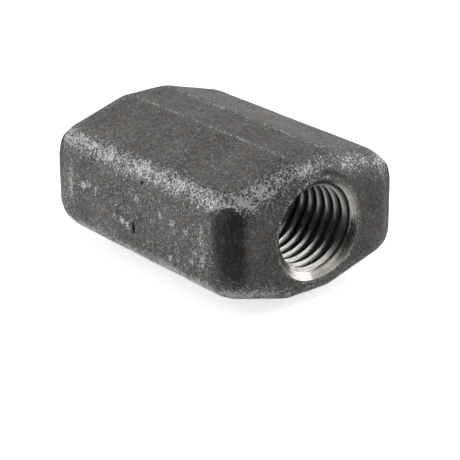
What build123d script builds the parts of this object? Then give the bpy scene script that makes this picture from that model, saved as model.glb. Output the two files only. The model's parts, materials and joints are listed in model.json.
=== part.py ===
from build123d import *
import os
from math import radians, tan

# Adjusting nut: one forged steel block with a threaded hole through its length, in mm.
# The hole runs along X and the origin is on its axis, half way along the block.
# The block has flat sides facing -Y and +Y, and a low ridged roof on its top and its bottom.

# Forged block
LENGTH = 60.0               # along the hole
WIDTH = 45.5                # across the flat sides
HEIGHT = 30.0               # over the flats of the two crowns
SIDE_HEIGHT = 20.0          # of a flat side, before its edges are rounded
CROWN_WIDTH = 10.4          # of the flat strip between the two ridges of a crown
EDGE_RADIUS = 6.3           # of the shoulders beside the flat sides, and all round each end
RIDGE_RADIUS = 1.4          # of the blunt lines between a crown and its two slopes

# Threaded hole, metric coarse M20
THREAD_DIAMETER = 20.0      # over the thread's roots
THREAD_PITCH = 2.5
MINOR_DEPTH_PER_PITCH = 1.0825  # from the major to the minor diameter of a metric thread
COUNTERSINK_DIAMETER = 21.2
COUNTERSINK_ANGLE = 90.0    # between opposite sides of the cone

# What is cut away starts and ends this far outside the block
CUT_CLEARANCE = 5.0

# A rounded edge leaves at least this share of a flat side's height
KEPT_FLAT_SHARE = 0.1

# Edges are told apart by their place to within this distance
MATCH = 0.001

# Worked out from the sizes above
half_length = LENGTH / 2
half_width = WIDTH / 2
half_height = HEIGHT / 2
half_side = SIDE_HEIGHT / 2
half_crown = CROWN_WIDTH / 2
bore_radius = (THREAD_DIAMETER - MINOR_DEPTH_PER_PITCH * THREAD_PITCH) / 2
countersink_radius = COUNTERSINK_DIAMETER / 2
countersink_depth = (countersink_radius - bore_radius) / tan(radians(COUNTERSINK_ANGLE / 2))
edge_radius = min(EDGE_RADIUS, (1 - KEPT_FLAT_SHARE) * half_side)


def block_section():
    """Eight-sided section of the bar: two flat sides, two crowns and four slopes."""
    return [
        (half_width, half_side),
        (half_crown, half_height),
        (-half_crown, half_height),
        (-half_width, half_side),
        (-half_width, -half_side),
        (-half_crown, -half_height),
        (half_crown, -half_height),
        (half_width, -half_side),
    ]


def at(value, target):
    """Whether a coordinate lies at the target or at its mirror image."""
    return abs(abs(value) - target) < MATCH


def rounded_edges(block):
    """The four shoulders along the sides, and every edge of the two ends."""
    along = block.edges().filter_by(Axis.X)
    shoulders = along.filter_by(lambda edge: at(edge.center().Y, half_width))
    ends = block.edges().filter_by(lambda edge: at(edge.center().X, half_length))
    return shoulders + ends


def ridge_lines(block):
    """The four blunt lines between the crowns and their slopes."""
    along = block.edges().filter_by(Axis.X)
    return along.filter_by(
        lambda edge: at(edge.center().Y, half_crown) and at(edge.center().Z, half_height)
    )


def hole_profile():
    """Half section of what the hole takes out: the bore with a countersink at each end."""
    outer_radius = countersink_radius + CUT_CLEARANCE * tan(radians(COUNTERSINK_ANGLE / 2))
    outer_end = half_length + CUT_CLEARANCE
    bore_end = half_length - countersink_depth
    return [
        (-outer_end, 0),
        (-outer_end, outer_radius),
        (-bore_end, bore_radius),
        (bore_end, bore_radius),
        (outer_end, outer_radius),
        (outer_end, 0),
    ]


# The ridges are blunted last, because their ends run into the rounded edges
with BuildPart() as nut:
    with BuildSketch(Plane.YZ):
        Polygon(*block_section(), align=None)
    extrude(amount=half_length, both=True)
    fillet(rounded_edges(nut), edge_radius)
    fillet(ridge_lines(nut), RIDGE_RADIUS)

    with BuildSketch(Plane.XZ):
        Polygon(*hole_profile(), align=None)
    revolve(axis=Axis.X, mode=Mode.SUBTRACT)

os.makedirs("parts", exist_ok=True)
export_step(nut.part, "parts/nut_body.step")
print("nut_body volume", round(nut.part.volume, 1), "mm3")
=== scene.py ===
# Adjusting nut: a forged steel block, worn along its edges, with a cut thread through its length.
# All lengths are in metres. The hole runs along X and the origin is on its axis, half way along.
import json
from math import atan2, cos, pi, radians, sin, tan

import bpy
import numpy as np
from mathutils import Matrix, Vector


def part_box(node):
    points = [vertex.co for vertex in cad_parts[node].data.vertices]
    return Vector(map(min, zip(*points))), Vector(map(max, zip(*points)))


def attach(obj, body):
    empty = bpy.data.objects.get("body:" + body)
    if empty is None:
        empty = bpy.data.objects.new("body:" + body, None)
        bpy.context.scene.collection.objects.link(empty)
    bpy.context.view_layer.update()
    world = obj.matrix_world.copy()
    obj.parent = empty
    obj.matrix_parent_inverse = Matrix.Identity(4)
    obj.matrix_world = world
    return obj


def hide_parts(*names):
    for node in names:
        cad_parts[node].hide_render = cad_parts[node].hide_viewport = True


MM = 0.001

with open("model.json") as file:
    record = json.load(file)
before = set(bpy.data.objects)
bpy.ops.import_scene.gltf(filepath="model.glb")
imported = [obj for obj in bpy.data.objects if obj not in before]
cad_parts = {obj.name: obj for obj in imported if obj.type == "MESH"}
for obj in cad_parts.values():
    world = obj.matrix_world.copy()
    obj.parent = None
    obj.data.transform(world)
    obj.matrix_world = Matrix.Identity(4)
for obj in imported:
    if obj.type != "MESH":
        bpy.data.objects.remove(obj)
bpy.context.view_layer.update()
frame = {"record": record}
_, block_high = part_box("nut_body")
thread_mount = next(mount for mount in frame["record"]["mounts"] if mount["name"] == "thread")

# Forged block, after the solid in the frame
HALF_LENGTH = block_high.x
HALF_WIDTH = block_high.y
HALF_HEIGHT = block_high.z
SIDE_HEIGHT = 20 * MM            # of a flat side, before its edges are rounded
CROWN_WIDTH = 10.4 * MM          # of the flat strip between the two ridges of a crown
EDGE_RADIUS = 6.3 * MM           # of the shoulders beside the flat sides, and round each end
EDGE_SEGMENTS = 10               # faces across a rounding
LEVEL_FACE = 0.9                 # upward share of a normal from which its face counts as level
SMOOTH_ANGLE = radians(30)       # edges flatter than this are shaded smooth

# Skin of the forging
SKIN_CELL = 0.45 * MM            # size of the even faces that carry its unevenness
SKIN_SMOOTHING = 5               # rounds, which blunt the ridges
SKIN_OCTAVES = 2                 # finer waves on each wave
SKIN_DATUM = 0.6                 # height of a wave at which the skin stays where it is
HAMMERED_WAVE = 9 * MM           # from one shallow hollow of the skin to the next
HAMMERED_DEPTH = 0.16 * MM
PITTED_WAVE = 2.2 * MM
PITTED_DEPTH = 0.05 * MM

# Threaded hole, metric coarse M20, right-handed
MINOR_RADIUS = thread_mount["dims"]["r_mm"] * MM
MAJOR_RADIUS = 10 * MM
THREAD_PITCH = 2.5 * MM
CREST_SHARE = 1 / 4              # of the pitch, at the minor radius
ROOT_SHARE = 1 / 8               # of the pitch, at the major radius
THREAD_START = -1.44 * MM        # shift along the hole, which places the turns near its mouth
TURN_STEPS = 72                  # faces round one turn of the thread
COUNTERSINK_RADIUS = 10.6 * MM
COUNTERSINK_STEPS = 96
CUT_CLEARANCE = 2 * MM           # how far a cutter reaches past the block
WELD = 0.01 * MM                 # points closer than this are one point

# An upright nick in the near flat side and a small pit in the shoulder above it:
# how far each middle lies along, in from the flat side and up, then its size and its lean
NICKS = [
    ((-0.25 * MM, 0, -2.9 * MM), (0.8 * MM, 1.3 * MM, 2.7 * MM), radians(5)),
    ((2.3 * MM, 0.35 * MM, 7.3 * MM), (0.7 * MM, 0.9 * MM, 0.6 * MM), 0),
]
NICK_STEPS = (24, 16)            # faces round the axis of a nick's cutter and along it

# Wear, from 0 for whole scale to 1 for a surface that is mostly bare
SHOULDER_WEAR = 1.18
RIM_WEAR = (1.28, 0.84)          # of the ends' edges, at the near corner and at the far one
RIM_CHANGE = (-14 * MM, 4 * MM)  # across an end, where the first gives way to the second
SHOULDER_TURN = 45               # degrees round a corner by which the shoulders' wear takes over
BOTTOM_WEAR_AND_LIGHT = (0.85, 1.2)        # of the ends' and sides' lower edges, as a share of those above, raised as painted light for the light they lack
WORN_ELEVATION = 42              # degrees that a rounding faces up or down where it is worn most
WORN_SPREAD = 18                 # degrees to either side
SIDE_WEAR = 0.4
SIDE_TURN = (70, 90)             # degrees round a corner over which a flat side sets in
SIDE_DEPTH = (-0.15, -0.05)      # past its face, as a share of EDGE_RADIUS, where it sets in
TOP_WEAR = 0.08
RIDGE_WEAR = 0.7
RIDGE_INSET = 0.6 * MM           # of the worn line from the ridge towards the crown
RIDGE_BAND = 0.75 * MM
RIDGE_FADE = (1.2 * MM, 0.5 * MM)    # below the crown, where the line sets in and is whole
# A worn line where the far half of a crown turns down into the end
END_LINE_WEAR = 0.75
END_LINE_PLACE = 24.4 * MM
END_LINE_BAND = 0.4 * MM
END_LINE_REACH = 13 * MM         # from the middle towards the far flat side
END_LINE_FADE = 2 * MM           # at either end of the line
# Upright rub marks on a flat side, just before each end's rounding
RUB_WEAR = 1.0
RUB_PLACE = 21.7 * MM            # along from the middle
RUB_BAND = 1.2 * MM
RUB_HALF_HEIGHT = 5.5 * MM
RUB_FADE = 1.5 * MM              # at the top and the bottom of a mark
# Bare lip round each mouth of the hole
LIP_WEAR = 1.0
LIP_RADIUS = 10.8 * MM
LIP_BAND = 0.4 * MM
# Scuffs on the near flat side, and on the far one half a turn round: place along, place up, radius
SCUFF_WEAR = 1.35
SCUFF_CORE = 0.3                 # of the radius, within which a scuff is at its strongest
SCUFFS = [
    (-17.2 * MM, 1.2 * MM, 1.4 * MM),
    (-15.2 * MM, 1.6 * MM, 1.2 * MM),
    (-12.9 * MM, 1.5 * MM, 1.1 * MM),
    (-6.6 * MM, -2.4 * MM, 1.3 * MM),
    (-4.4 * MM, -2.9 * MM, 1.3 * MM),
    (-2.2 * MM, -3.1 * MM, 1.2 * MM),
    (1.0 * MM, 3.6 * MM, 1.1 * MM),
    (8.6 * MM, 2.2 * MM, 1.3 * MM),
    (12.4 * MM, 2.0 * MM, 1.2 * MM),
    (16.6 * MM, 1.4 * MM, 1.3 * MM),
    (11.5 * MM, -5.6 * MM, 1.2 * MM),
    (18.2 * MM, -4.4 * MM, 1.4 * MM),
]

# Painted shade: a dark oval on each upright rounding, by the angle from the end face
# towards the flat side, and by height with an arched top
OVAL_END_EDGE = (17, 26)         # degrees over which it sets in, crisp beside the end face
OVAL_SIDE_EDGE = (93, 72)        # degrees over which it fades towards the flat side
OVAL_MIDDLE = 50
OVAL_HALF_WIDTH = 33
OVAL_TOP = 9.5 * MM
OVAL_ARCH = 2.6 * MM             # from the top of the arch down to its springing
OVAL_TOP_FADE = 0.8 * MM
OVAL_BOTTOM = -9.0 * MM
OVAL_FADE = 8 * MM               # above its bottom, where it grows lighter
OVAL_TAPER = 32                  # degrees by which it is narrower at its bottom
OVAL_DEPTH = -0.8                # past the wall, as a share of EDGE_RADIUS, where it ends
# Painted shade: a dark crescent above each mouth of the hole
CRESCENT_RADIUS = 11.7 * MM
CRESCENT_BAND = 0.4 * MM
CRESCENT_MIDDLE = 68             # degrees up from the far flat side
CRESCENT_HALF_ANGLE = 20

# Camera, solved from the photograph
VIEW_AZIMUTH = radians(50.42)
VIEW_ELEVATION = radians(22.70)
VIEW_DISTANCE = 398.7 * MM
LENS = 150.86                    # focal length in millimetres, for a 36 mm sensor
PHOTO_SIZE = 460                 # pixels each way
ORIGIN_PIXEL = (221.75, 187.57)  # where the photograph shows the middle of the hole's axis

# How fast the streaks' pattern changes along, across and up: slowly up, so that they stand upright
STREAK_RATES = (1.0, 1.0, 0.2)

# Colours, in linear light
DARK_SCALE = (0.03, 0.029, 0.028, 1)
PALE_SCALE = (0.225, 0.218, 0.209, 1)
# The next tint darkens and warms the colour where shade is painted
PAINTED_SHADE_TINT = (0.5, 0.48, 0.45, 1)
RUST = (0.15, 0.085, 0.055, 1)
PIT = (0.02, 0.019, 0.018, 1)
DULL_STEEL = (0.34, 0.34, 0.337, 1)
BRIGHT_STEEL = (0.74, 0.74, 0.735, 1)
THREAD_STEEL = (0.36, 0.355, 0.345, 1)
COUNTERSINK_STEEL = (0.36, 0.35, 0.325, 1)
STAIN = (0.25, 0.185, 0.11, 1)
# Dark of dirt in cut steel, and of painted shade in the thread's roots
ROOT_DIRT_AND_SHADE = (0.03, 0.028, 0.027, 1)

# Studio
FLOOR_GLOW = 0.72                # share of plain white in the floor's look beside the nut
FLOOR_FADE = (60.0, 200.0)       # millimetres from the nut's middle over which it turns white
FLOOR_RADIUS = 1.5
FLOOR_GREY = 0.7
# Softboxes that face the nut: azimuth and elevation in degrees, width and height, and watts
SOFTBOX_DISTANCE = 0.7
SOFTBOXES = {
    "left_softbox": (-50, 20, (0.45, 0.45), 4.3),
    "back_softbox": (170, 20, (0.45, 0.45), 3.9),
    "right_strip": (113, 24, (0.62, 0.14), 0.82),
    "top_softbox": (50, 88, (0.6, 0.6), 1.5),
}
# Dark cards in front of the near end: how far to either flat side and how far up each reaches
CARD_GREY = 0.01
CARD_DISTANCE = 22 * MM
LOW_CARD = ((-45 * MM, 45 * MM), (-HALF_HEIGHT, 2 * MM))
NEAR_CARD = ((-60 * MM, 1 * MM), (2 * MM, 26 * MM))

half_side = SIDE_HEIGHT / 2
half_crown = CROWN_WIDTH / 2
roof_angle = atan2(HALF_HEIGHT - half_side, HALF_WIDTH - half_crown)


# Modelling helpers


def select_only(thing):
    """Selects one object and makes it the active one."""
    bpy.ops.object.select_all(action="DESELECT")
    thing.select_set(True)
    bpy.context.view_layer.objects.active = thing


def place_in_mesh(thing):
    """Moves the object's place, turn and scale into its mesh."""
    select_only(thing)
    bpy.ops.object.transform_apply(location=True, rotation=True, scale=True)


def apply_modifier(thing, kind, **settings):
    """Adds one modifier with its settings and makes its result the object's mesh."""
    modifier = thing.modifiers.new(kind.lower(), kind)
    for name, value in settings.items():
        setattr(modifier, name, value)
    select_only(thing)
    bpy.ops.object.modifier_apply(modifier=modifier.name)


def select_faces(thing, test):
    """In edit mode, selects the faces whose normal passes the test, and nothing else."""
    bpy.ops.mesh.select_mode(type="FACE")
    bpy.ops.mesh.select_all(action="DESELECT")
    bpy.ops.object.mode_set(mode="OBJECT")
    for face in thing.data.polygons:
        face.select = test(face.normal)
    bpy.ops.object.mode_set(mode="EDIT")


def subtract(thing, cutter):
    """Cuts one solid out of another, with the cutter's own material on the new faces."""
    apply_modifier(
        thing,
        "BOOLEAN",
        operation="DIFFERENCE",
        solver="EXACT",
        material_mode="TRANSFER",
        object=cutter,
    )
    bpy.data.objects.remove(cutter)


# Forged block


def make_bar():
    """The eight-sided bar, with two flat sides and a low roof on its top and its bottom."""
    bpy.ops.object.select_all(action="DESELECT")
    size = (2 * HALF_LENGTH, 2 * HALF_WIDTH, SIDE_HEIGHT)
    bpy.ops.mesh.primitive_cube_add(size=1, scale=size)
    bar = bpy.context.object
    bar.name = "forged_nut"
    place_in_mesh(bar)
    bpy.ops.object.mode_set(mode="EDIT")
    for up in (1, -1):
        select_faces(bar, lambda normal: normal.z * up > LEVEL_FACE)
        rise = (0, 0, up * (HALF_HEIGHT - half_side))
        bpy.ops.mesh.extrude_region_move(TRANSFORM_OT_translate={"value": rise})
        bpy.ops.transform.resize(value=(1, half_crown / HALF_WIDTH, 1))
    bpy.ops.mesh.select_all(action="SELECT")
    bpy.ops.mesh.dissolve_limited(angle_limit=radians(1))
    bpy.ops.object.mode_set(mode="OBJECT")
    return bar


def round_edges(bar):
    """Rounds the shoulders and the ends to one radius, whatever the angle between their faces."""
    weights = bar.data.attributes.new("bevel_weight_edge", "FLOAT", "EDGE")
    shoulder_turn = pi / 2 - roof_angle
    for edge in bar.data.edges:
        first, second = (bar.data.vertices[index].co for index in edge.vertices)
        runs_along = abs(second.x - first.x) > WELD
        on_side = abs(abs(first.y) - HALF_WIDTH) < WELD
        if not runs_along:
            weights.data[edge.index].value = 1
        elif on_side:
            weights.data[edge.index].value = tan(shoulder_turn / 2)
    apply_modifier(
        bar,
        "BEVEL",
        limit_method="WEIGHT",
        width=EDGE_RADIUS,
        segments=EDGE_SEGMENTS,
        use_clamp_overlap=False,
    )


def forge_skin(bar):
    """Gives the block even faces and the shallow unevenness that forging leaves."""
    apply_modifier(bar, "REMESH", mode="VOXEL", voxel_size=SKIN_CELL)
    apply_modifier(bar, "SMOOTH", factor=0.5, iterations=SKIN_SMOOTHING)
    for name, wave, depth in (
        ("hammered", HAMMERED_WAVE, HAMMERED_DEPTH),
        ("pitted", PITTED_WAVE, PITTED_DEPTH),
    ):
        hollows = bpy.data.textures.new(name, "CLOUDS")
        hollows.noise_scale = wave
        hollows.noise_depth = SKIN_OCTAVES
        apply_modifier(
            bar,
            "DISPLACE",
            texture=hollows,
            texture_coords="LOCAL",
            strength=depth,
            mid_level=SKIN_DATUM,
        )


def nick_cutter(place, size, lean):
    """A lens that leaves a nick in the near side."""
    along, inward, up = place
    bpy.ops.object.select_all(action="DESELECT")
    bpy.ops.mesh.primitive_uv_sphere_add(
        segments=NICK_STEPS[0],
        ring_count=NICK_STEPS[1],
        radius=0.5,
        location=(along, inward - HALF_WIDTH, up),
        rotation=(0, -lean, 0),
        scale=size,
    )
    lens = bpy.context.object
    place_in_mesh(lens)
    return lens


# Threaded hole


def make_tap():
    """The space inside the thread, its crests at the minor radius and its roots at the major."""
    crest = CREST_SHARE * THREAD_PITCH
    root = ROOT_SHARE * THREAD_PITCH
    flank = (THREAD_PITCH - crest - root) / 2
    half_reach = HALF_LENGTH + CUT_CLEARANCE + THREAD_PITCH
    turns = round(2 * half_reach / THREAD_PITCH)

    bpy.ops.object.select_all(action="DESELECT")
    bpy.ops.mesh.primitive_plane_add(size=1)
    tap = bpy.context.object
    tap.name = "tap"
    outline = [
        (0, MINOR_RADIUS),
        (crest, MINOR_RADIUS),
        (crest + flank, MAJOR_RADIUS),
        (crest + flank + root, MAJOR_RADIUS),
        (THREAD_PITCH, MINOR_RADIUS),
    ]
    tap.data.clear_geometry()
    tap.data.from_pydata(
        [(radius, 0, along) for along, radius in outline],
        [(index, index + 1) for index in range(len(outline) - 1)],
        [],
    )
    apply_modifier(
        tap,
        "SCREW",
        axis="Z",
        angle=2 * pi,
        screw_offset=THREAD_PITCH,
        iterations=turns,
        steps=TURN_STEPS,
        render_steps=TURN_STEPS,
    )
    bpy.ops.object.mode_set(mode="EDIT")
    bpy.ops.mesh.select_all(action="SELECT")
    bpy.ops.mesh.remove_doubles(threshold=WELD)
    bpy.ops.mesh.select_mode(type="EDGE")
    bpy.ops.mesh.select_all(action="DESELECT")
    bpy.ops.mesh.select_non_manifold()
    bpy.ops.mesh.fill()
    bpy.ops.mesh.select_all(action="SELECT")
    bpy.ops.mesh.normals_make_consistent(inside=False)
    bpy.ops.object.mode_set(mode="OBJECT")
    tap.location = (THREAD_START - turns * THREAD_PITCH / 2, 0, 0)
    tap.rotation_euler = (0, pi / 2, 0)
    place_in_mesh(tap)
    return tap


def countersink_cutter(toward_x):
    """The cone that opens one end of the hole at 45 degrees."""
    tip_radius = MINOR_RADIUS / 2
    mouth_radius = COUNTERSINK_RADIUS + CUT_CLEARANCE
    depth = mouth_radius - tip_radius
    bpy.ops.object.select_all(action="DESELECT")
    bpy.ops.mesh.primitive_cone_add(
        vertices=COUNTERSINK_STEPS,
        radius1=tip_radius,
        radius2=mouth_radius,
        depth=depth,
        location=(toward_x * (HALF_LENGTH + CUT_CLEARANCE - depth / 2), 0, 0),
        rotation=(0, toward_x * pi / 2, 0),
    )
    cone = bpy.context.object
    place_in_mesh(cone)
    return cone


# Wear, painted on the points of the mesh


def smooth_step(value, low, high):
    """Runs smoothly from 0 at low to 1 at high, where low may also be the larger of the two."""
    share = np.clip((value - low) / (high - low), 0, 1)
    return share * share * (3 - 2 * share)


def add_attribute(thing, name, values):
    """Stores one value for each point of the mesh, which a material can read by name."""
    attribute = thing.data.attributes.new(name, "FLOAT", "POINT")
    attribute.data.foreach_set("value", values.astype(np.float32))


def bump_at(value, middle, band):
    """A smooth bump from 0 to 1, highest at the middle."""
    return np.exp(-(((value - middle) / band) ** 2))


def read_vectors(collection, name):
    """The x, y and z of a mesh's places or normals, each as an array."""
    values = np.empty(3 * len(collection), np.float32)
    collection.foreach_get(name, values)
    return values.reshape(-1, 3).T


def paint_wear(nut):
    """Marks how far each point has lost its scale, with painted light on the lower edges, and where
    shade is painted dark.
    """
    x, y, z = read_vectors(nut.data.vertices, "co")
    facing_up = abs(read_vectors(nut.data.vertex_normals, "vector")[2])
    elevation = np.degrees(np.arcsin(np.clip(facing_up, 0, 1)))
    along, across, up = abs(x), abs(y), abs(z)
    toward_far = np.sign(x) * y

    # How far a point lies past the upright roundings, below zero inside the block,
    # and how far round from the end towards the side
    into_end = np.maximum(along - HALF_LENGTH + EDGE_RADIUS, 0)
    into_side = np.maximum(across - HALF_WIDTH + EDGE_RADIUS, 0)
    past_wall = np.hypot(into_end, into_side) / EDGE_RADIUS - 1
    turn = np.degrees(np.arctan2(into_side, into_end))

    rim = bump_at(elevation, WORN_ELEVATION, WORN_SPREAD * 2**0.5)
    far_share = smooth_step(toward_far, *RIM_CHANGE)
    end_rim = RIM_WEAR[0] + (RIM_WEAR[1] - RIM_WEAR[0]) * far_share
    side_share = smooth_step(turn, 0, SHOULDER_TURN)
    rim *= end_rim + (SHOULDER_WEAR - end_rim) * side_share
    # Lower edges: worn, and brightened as painted light where little light reaches them
    below_wear_and_light = BOTTOM_WEAR_AND_LIGHT[0] + (BOTTOM_WEAR_AND_LIGHT[1] - BOTTOM_WEAR_AND_LIGHT[0]) * side_share
    wear = np.maximum(rim * np.where(z > 0, 1, below_wear_and_light), TOP_WEAR)

    on_side = smooth_step(past_wall, *SIDE_DEPTH) * smooth_step(turn, *SIDE_TURN)
    wear = np.maximum(wear, SIDE_WEAR * on_side)

    on_crown = smooth_step(up, HALF_HEIGHT - RIDGE_FADE[0], HALF_HEIGHT - RIDGE_FADE[1])
    ridge = RIDGE_WEAR * bump_at(across, half_crown - RIDGE_INSET, RIDGE_BAND)
    wear = np.maximum(wear, ridge * on_crown)

    end_line = bump_at(along, END_LINE_PLACE, END_LINE_BAND) * (elevation > WORN_ELEVATION)
    on_far_half = smooth_step(toward_far, 0, END_LINE_FADE)
    on_far_half *= smooth_step(toward_far, END_LINE_REACH, END_LINE_REACH - END_LINE_FADE)
    end_line *= on_far_half
    wear = np.maximum(wear, END_LINE_WEAR * end_line)

    rub = bump_at(along, RUB_PLACE, RUB_BAND) * on_side
    rub *= smooth_step(up, RUB_HALF_HEIGHT, RUB_HALF_HEIGHT - RUB_FADE)
    wear = np.maximum(wear, RUB_WEAR * rub)

    radius = np.hypot(y, z)
    wear = np.maximum(wear, LIP_WEAR * bump_at(radius, LIP_RADIUS, LIP_BAND) * (into_end > 0))

    for way in (1, -1):
        for place_along, place_up, reach in SCUFFS:
            distance = np.hypot(way * x - place_along, z - place_up)
            scuff = smooth_step(distance / reach, 1, SCUFF_CORE) * on_side * (way * y < 0)
            wear = np.maximum(wear, SCUFF_WEAR * scuff)

    # Painted shade: the dark oval on each upright rounding
    spread = (turn - OVAL_MIDDLE) / OVAL_HALF_WIDTH
    arch = OVAL_TOP - OVAL_ARCH * spread**2
    drop = np.clip((OVAL_TOP - z) / (OVAL_TOP - OVAL_BOTTOM), 0, 1)
    tapered_turn = turn + OVAL_TAPER * drop**2
    oval = smooth_step(turn, *OVAL_END_EDGE) * smooth_step(tapered_turn, *OVAL_SIDE_EDGE)
    oval *= smooth_step(z, arch, arch - OVAL_TOP_FADE)
    oval *= smooth_step(z, OVAL_BOTTOM, OVAL_BOTTOM + OVAL_FADE) * (past_wall > OVAL_DEPTH)

    # Painted shade: the dark crescent above each mouth of the hole
    swing = np.degrees(np.arctan2(z, toward_far)) - CRESCENT_MIDDLE
    crescent = bump_at(radius, CRESCENT_RADIUS, CRESCENT_BAND) * (into_end > 0)
    crescent *= smooth_step(abs(swing), CRESCENT_HALF_ANGLE, CRESCENT_HALF_ANGLE / 2)
    # Painted shade: the oval, the crescent and the inside of each nick are darkened, and keep no
    # wear
    shade_mask = np.maximum(oval, crescent)
    for place, size, _ in NICKS:
        from_middle = np.hypot((x - place[0]) / size[0], (z - place[2]) / size[2])
        shade_mask = np.maximum(shade_mask, (from_middle < 1 / 2) & (y < 0))
    add_attribute(nut, "wear", wear * (1 - shade_mask))
    add_attribute(nut, "painted_shade", shade_mask)


# Shader helpers


def add_node(tree, kind, inputs=None, **settings):
    """Adds a node and feeds its inputs, each from another node's output or with a value."""
    node = tree.nodes.new("ShaderNode" + kind)
    for name, value in settings.items():
        setattr(node, name, value)
    for name, source in (inputs or {}).items():
        if isinstance(source, bpy.types.NodeSocket):
            tree.links.new(source, node.inputs[name])
        else:
            node.inputs[name].default_value = source
    return node


def weighted_sum(tree, offset, *terms):
    """The offset plus each output times its weight."""
    total = offset
    for source, weight in terms:
        inputs = {0: source, 1: weight, 2: total}
        total = add_node(tree, "Math", inputs, operation="MULTIPLY_ADD").outputs[0]
    return total


def clamped(tree, source, low=0.0, high=1.0):
    """The part of the value between low and high, stretched to run from 0 to 1."""
    inputs = {"Value": source, "From Min": low, "From Max": high}
    return add_node(tree, "MapRange", inputs).outputs[0]


def mix_colour(tree, share, first, second, blend="MIX"):
    """The first colour where the share is 0 and the second, or its blend, where it is 1."""
    inputs = {0: share, 6: first, 7: second}
    mix = add_node(tree, "Mix", inputs, data_type="RGBA", blend_type=blend)
    return mix.outputs[2]


def product(tree, first, second):
    return add_node(tree, "Math", {0: first, 1: second}, operation="MULTIPLY").outputs[0]


def grey(level):
    return (level, level, level, 1)


def make_speckle_group():
    """Blotches of one size, where Low and High cut how much of the surface they cover."""
    group = bpy.data.node_groups.new("speckle", "ShaderNodeTree")
    group.interface.new_socket("Position", in_out="INPUT", socket_type="NodeSocketVector")
    for name, value in (("Size", 1.0), ("Low", 0.3), ("High", 0.7)):
        socket = group.interface.new_socket(name, in_out="INPUT", socket_type="NodeSocketFloat")
        socket.default_value = value
    group.interface.new_socket("Amount", in_out="OUTPUT", socket_type="NodeSocketFloat")
    start = group.nodes.new("NodeGroupInput")
    end = group.nodes.new("NodeGroupOutput")
    scale = add_node(group, "Math", {0: 1.0, 1: start.outputs["Size"]}, operation="DIVIDE")
    noise = add_node(
        group,
        "TexNoise",
        {
            "Vector": start.outputs["Position"],
            "Scale": scale.outputs[0],
            "Detail": 2.0,
            "Roughness": 0.6,
        },
    )
    amount = add_node(
        group,
        "MapRange",
        {
            "Value": noise.outputs[0],
            "From Min": start.outputs["Low"],
            "From Max": start.outputs["High"],
        },
    )
    group.links.new(amount.outputs[0], end.inputs["Amount"])
    return group


def speckle(tree, position, size, low=0.3, high=0.7):
    """A speckle group in a material, its size in millimetres."""
    node = add_node(tree, "Group", node_tree=speckle_group)
    tree.links.new(position, node.inputs["Position"])
    for name, value in (("Size", size), ("Low", low), ("High", high)):
        node.inputs[name].default_value = value
    return node.outputs["Amount"]


def new_material(name):
    """An empty material with its shader, its node tree and the place on the object in mm."""
    material = bpy.data.materials.new(name)
    material.use_nodes = True
    tree = material.node_tree
    shader = tree.nodes["Principled BSDF"]
    place = add_node(tree, "TexCoord").outputs["Object"]
    position = add_node(tree, "VectorMath", {0: place, 3: 1 / MM}, operation="SCALE").outputs[0]
    return material, tree, shader, position


# Materials


def make_forged_scale():
    """Dark scale with fine grain, a little rust, bare steel where it has worn through, and painted
    shade where the mesh marks it.
    """
    material, tree, shader, position = new_material("forged_scale")
    wear = add_node(tree, "Attribute", attribute_name="wear").outputs["Fac"]
    # Painted shade, read from the mesh: where the scale is darkened as if in shade
    shade_mask = add_node(tree, "Attribute", attribute_name="painted_shade").outputs["Fac"]

    upright = add_node(tree, "VectorMath", {0: position, 1: STREAK_RATES}, operation="MULTIPLY")
    fine = speckle(tree, position, 0.38)
    streaks = speckle(tree, upright.outputs[0], 0.38)
    coarse = speckle(tree, position, 1.1)
    patches = speckle(tree, position, 3.5)
    broad = speckle(tree, position, 9.0)
    pits = speckle(tree, position, 0.6, 0.60, 0.68)
    glints = speckle(tree, position, 0.55, 0.57, 0.68)
    glitter = speckle(tree, position, 0.3, 0.42, 0.66)
    rust = speckle(tree, position, 1.7, 0.55, 0.75)

    worn = product(tree, wear, weighted_sum(tree, 0.65, (patches, 0.7)))
    tone = weighted_sum(tree, -0.15, (fine, 0.38), (coarse, 0.28), (broad, 0.3), (glints, 0.5))
    worn_grain = product(tree, worn, fine)
    worn_through = product(tree, worn, worn)
    tone = weighted_sum(tree, tone, (worn_grain, 2.4), (worn_through, 0.25))
    # Painted shade: the tone drops there, with lighter upright streaks in it
    shade_streaks = product(tree, shade_mask, streaks)
    tone = weighted_sum(tree, tone, (shade_streaks, 0.8), (worn, -1.12), (shade_mask, -0.65))
    colour = mix_colour(tree, clamped(tree, tone), DARK_SCALE, PALE_SCALE)
    colour = mix_colour(tree, weighted_sum(tree, 0.0, (rust, 0.4)), colour, RUST)
    colour = mix_colour(tree, weighted_sum(tree, 0.0, (pits, 0.5)), colour, PIT)
    # Painted shade: the colour is multiplied by a warm dark tint there
    colour = mix_colour(tree, shade_mask, colour, PAINTED_SHADE_TINT, "MULTIPLY")

    rubbed = weighted_sum(tree, -0.9, (worn, 0.48), (fine, 0.55), (coarse, 0.25), (streaks, 0.2))
    bare = clamped(tree, rubbed, 0.0, weighted_sum(tree, 0.02, (worn, 0.27)))
    steel = mix_colour(tree, glitter, DULL_STEEL, BRIGHT_STEEL)
    colour = mix_colour(tree, bare, colour, steel)
    tree.links.new(colour, shader.inputs["Base Color"])
    tree.links.new(weighted_sum(tree, 0.0, (bare, 0.25)), shader.inputs["Metallic"])
    tree.links.new(weighted_sum(tree, 0.62, (fine, 0.2), (bare, -0.15)), shader.inputs["Roughness"])
    shader.inputs["Specular IOR Level"].default_value = 0.3

    height = weighted_sum(tree, 0.0, (fine, 0.5), (coarse, 0.8), (pits, -0.6), (bare, -0.3))
    bump = add_node(tree, "Bump", {"Height": height, "Distance": 0.06 * MM, "Strength": 1.0})
    tree.links.new(bump.outputs[0], shader.inputs["Normal"])
    return material


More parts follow.
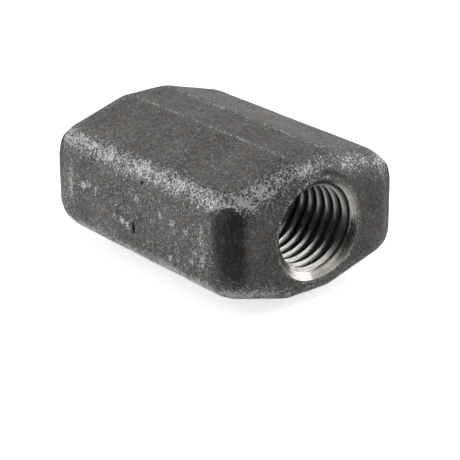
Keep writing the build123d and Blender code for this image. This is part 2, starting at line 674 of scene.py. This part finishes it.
def make_cut_steel(name, colour, roughness, stain, dirt_and_shade_radii, darkest_dirt_and_shade, ring_dirt, relief):
    """Steel with the fine rings that a cutting tool leaves. It grows darker between two radii in
    millimetres, with dirt and with painted shade in the thread's roots. The radii lie a little
    further in at the top of the hole, and the dirt also follows the rings."""
    material, tree, shader, position = new_material(name)
    axes = add_node(tree, "SeparateXYZ", {0: position})
    flat = add_node(tree, "CombineXYZ", {"X": 0.0, "Y": axes.outputs["Y"], "Z": axes.outputs["Z"]})
    radius = add_node(tree, "VectorMath", {0: flat.outputs[0]}, operation="LENGTH").outputs["Value"]
    ring = add_node(tree, "CombineXYZ", {"X": axes.outputs["X"], "Y": radius, "Z": 0.0}).outputs[0]

    rings = speckle(tree, ring, 0.16)
    blotches = speckle(tree, position, 1.2, 0.45, 0.65)
    grains = speckle(tree, position, 0.25, 0.55, 0.75)
    # Darker between the two radii: dirt, and painted shade in the thread's roots, which reaches
    # further in at the top of the hole
    root = clamped(tree, weighted_sum(tree, radius, (axes.outputs["Z"], 0.06)), *dirt_and_shade_radii)
    along_rings = (rings, 1.5 * ring_dirt)
    dirt_and_shade = weighted_sum(tree, -ring_dirt / 2, (root, darkest_dirt_and_shade), (grains, 0.4), along_rings)
    tinted = mix_colour(tree, weighted_sum(tree, 0.0, (blotches, stain)), colour, STAIN)
    dirty_and_shaded = mix_colour(tree, clamped(tree, dirt_and_shade), tinted, ROOT_DIRT_AND_SHADE)
    tree.links.new(dirty_and_shaded, shader.inputs["Base Color"])
    shader.inputs["Metallic"].default_value = 1.0
    dulled = weighted_sum(tree, roughness, (rings, 0.12), (dirt_and_shade, 0.25))
    tree.links.new(dulled, shader.inputs["Roughness"])
    height = weighted_sum(tree, 0.0, (rings, 1.0), (grains, 0.6))
    bump = add_node(tree, "Bump", {"Height": height, "Distance": relief, "Strength": 1.0})
    tree.links.new(bump.outputs[0], shader.inputs["Normal"])
    return material


speckle_group = make_speckle_group()
forged_scale = make_forged_scale()
cut_thread = make_cut_steel(
    "cut_thread",
    colour=THREAD_STEEL,
    roughness=0.18,
    stain=0.15,
    # Dirt and painted shade darken the thread's roots
    dirt_and_shade_radii=(9.0, 9.8),
    darkest_dirt_and_shade=0.97,
    ring_dirt=0.1,
    relief=0.012 * MM,
)
countersunk = make_cut_steel(
    "countersunk",
    colour=COUNTERSINK_STEEL,
    roughness=0.1,
    stain=0.35,
    dirt_and_shade_radii=(10.2, 11.4),
    darkest_dirt_and_shade=0.6,
    ring_dirt=0.5,
    relief=0.025 * MM,
)

nut = make_bar()
round_edges(nut)
forge_skin(nut)
nut.data.materials.append(forged_scale)
cutters = [(nick_cutter(*nick), forged_scale) for nick in NICKS]
cutters += [(make_tap(), cut_thread)]
cutters += [(countersink_cutter(toward_x), countersunk) for toward_x in (-1, 1)]
for cutter, material in cutters:
    cutter.data.materials.append(material)
    subtract(nut, cutter)
paint_wear(nut)
select_only(nut)
bpy.ops.object.shade_smooth_by_angle(angle=SMOOTH_ANGLE)

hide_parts("nut_body")
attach(nut, "root")


# Studio


def direction(azimuth, elevation):
    """Unit vector from the object towards a place round it, with azimuth 0 on the -Y side."""
    return Vector((sin(azimuth) * cos(elevation), -cos(azimuth) * cos(elevation), sin(elevation)))


def add_softbox(name, azimuth, elevation, size, power):
    """A lamp of some width and height that faces the object, out of the camera's sight."""
    lamp = bpy.data.lights.new(name, "AREA")
    lamp.shape = "RECTANGLE"
    lamp.size, lamp.size_y = size
    lamp.energy = power
    box = bpy.data.objects.new(name, lamp)
    toward = direction(radians(azimuth), radians(elevation))
    box.location = toward * SOFTBOX_DISTANCE
    box.rotation_euler = toward.to_track_quat("Z", "Y").to_euler()
    box.visible_camera = False
    bpy.context.scene.collection.objects.link(box)


def seen_directly(tree):
    """1 for the camera's rays and those that metal or glass passes on, 0 for light on the object."""
    rays = add_node(tree, "LightPath").outputs
    seen = rays["Is Camera Ray"]
    for kind in ("Is Glossy Ray", "Is Transmission Ray"):
        seen = add_node(tree, "Math", {0: seen, 1: rays[kind]}, operation="MAXIMUM").outputs[0]
    return seen


def make_floor():
    """A pale floor that keeps the shadow near the nut and fades to white further out."""
    bpy.ops.object.select_all(action="DESELECT")
    bpy.ops.mesh.primitive_circle_add(
        vertices=96, radius=FLOOR_RADIUS, fill_type="NGON", location=(0, 0, -HALF_HEIGHT)
    )
    floor = bpy.context.object
    floor.name = "floor"
    place_in_mesh(floor)
    material, tree, shader, position = new_material("pale_floor")
    shader.inputs["Base Color"].default_value = grey(FLOOR_GREY)
    shader.inputs["Roughness"].default_value = 0.9
    reach = add_node(tree, "VectorMath", {0: position}, operation="LENGTH").outputs["Value"]
    glow = weighted_sum(tree, FLOOR_GLOW, (clamped(tree, reach, *FLOOR_FADE), 1 - FLOOR_GLOW))
    strength = product(tree, glow, seen_directly(tree))
    white = add_node(tree, "Emission", {"Color": grey(1.0), "Strength": strength})
    both = add_node(tree, "AddShader", {0: shader.outputs[0], 1: white.outputs[0]})
    tree.links.new(both.outputs[0], tree.nodes["Material Output"].inputs["Surface"])
    floor.data.materials.append(material)


def make_black_card():
    """The matt black of the cards."""
    material, _, shader, _ = new_material("black_card")
    shader.inputs["Base Color"].default_value = grey(CARD_GREY)
    shader.inputs["Roughness"].default_value = 1.0
    return material


def add_dark_card(name, across, upright, material):
    """An upright card in front of the near end, which shows in reflections only."""
    bpy.ops.object.select_all(action="DESELECT")
    bpy.ops.mesh.primitive_plane_add(
        size=1,
        location=(HALF_LENGTH + CARD_DISTANCE, sum(across) / 2, sum(upright) / 2),
        rotation=(0, -pi / 2, 0),
    )
    card = bpy.context.object
    card.name = name
    card.scale = (upright[1] - upright[0], across[1] - across[0], 1)
    place_in_mesh(card)
    card.data.materials.append(material)
    card.visible_camera = False
    card.visible_diffuse = False
    card.visible_shadow = False


def make_world():
    """White wherever it is seen, with no light of its own on the object."""
    world = bpy.data.worlds.new("studio")
    world.use_nodes = True
    tree = world.node_tree
    background = tree.nodes["Background"]
    background.inputs["Color"].default_value = grey(1.0)
    tree.links.new(seen_directly(tree), background.inputs["Strength"])
    bpy.context.scene.world = world


def add_camera():
    """The photograph's view, shifted so that the origin falls on its pixel."""
    lens = bpy.data.cameras.new("camera")
    lens.lens = LENS
    camera = bpy.data.objects.new("camera", lens)
    camera.rotation_euler = (pi / 2 - VIEW_ELEVATION, 0, VIEW_AZIMUTH)
    pixel = VIEW_DISTANCE * lens.sensor_width / LENS / PHOTO_SIZE
    from_centre = Vector((ORIGIN_PIXEL[0] - PHOTO_SIZE / 2, PHOTO_SIZE / 2 - ORIGIN_PIXEL[1]))
    offset = Vector((-from_centre.x * pixel, -from_centre.y * pixel, VIEW_DISTANCE))
    camera.location = camera.rotation_euler.to_matrix() @ offset
    bpy.context.scene.collection.objects.link(camera)
    bpy.context.scene.camera = camera


make_floor()
make_world()
black_card = make_black_card()
add_dark_card("low_card", *LOW_CARD, black_card)
add_dark_card("near_card", *NEAR_CARD, black_card)
for name, settings in SOFTBOXES.items():
    add_softbox(name, *settings)
add_camera()
bpy.context.scene.view_settings.view_transform = "Standard"
